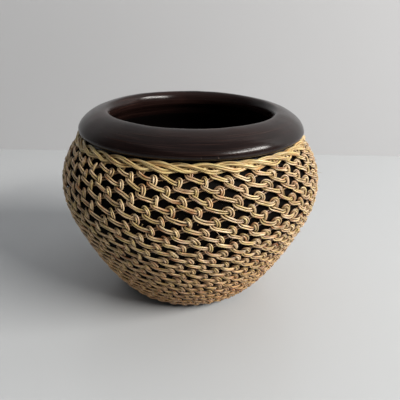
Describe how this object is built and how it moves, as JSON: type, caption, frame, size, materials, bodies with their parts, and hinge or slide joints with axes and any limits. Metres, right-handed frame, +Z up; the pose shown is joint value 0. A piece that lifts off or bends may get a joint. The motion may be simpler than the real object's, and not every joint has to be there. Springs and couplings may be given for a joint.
{
  "type": "pot",
  "caption": "Round-bellied black clay pot with a broad rolled rim, dressed from neck to foot in a looped straw-coloured fibre net under a twisted neck cord.",
  "frame": {"origin": "centre of the foot's flat face, on the surface the pot stands on", "axes": "+Z up along the pot's axis; the net's strand ends meet at the back, at +Y"},
  "size_m": [0.1502, 0.1502, 0.1099],
  "materials": {
    "black_clay": "burnished, smoke-fired black-brown clay with a soft gloss",
    "net_fibre": "dry straw-coloured plant fibre, looped in pairs, slightly glossy",
    "cord_fibre": "flat pale straw-coloured plant fibre, twisted"
  },
  "bodies": {
    "root": {"clay_pot": "black_clay", "neck_cord_ply_a": "cord_fibre", "neck_cord_ply_b": "cord_fibre", "net_course_01": "net_fibre", "net_course_02": "net_fibre", "net_course_03": "net_fibre", "net_course_04": "net_fibre", "net_course_05": "net_fibre", "net_course_06": "net_fibre", "net_course_07": "net_fibre", "net_course_08": "net_fibre", "net_course_09": "net_fibre", "net_course_10": "net_fibre", "net_course_11": "net_fibre", "net_course_12": "net_fibre", "net_course_13": "net_fibre", "net_course_14": "net_fibre", "net_course_15": "net_fibre", "net_course_16": "net_fibre", "net_course_17": "net_fibre", "net_course_18": "net_fibre", "net_course_19": "net_fibre", "net_course_20": "net_fibre", "net_course_21": "net_fibre", "net_course_22": "net_fibre", "foot_ring": "net_fibre"}
  },
  "joints": []
}
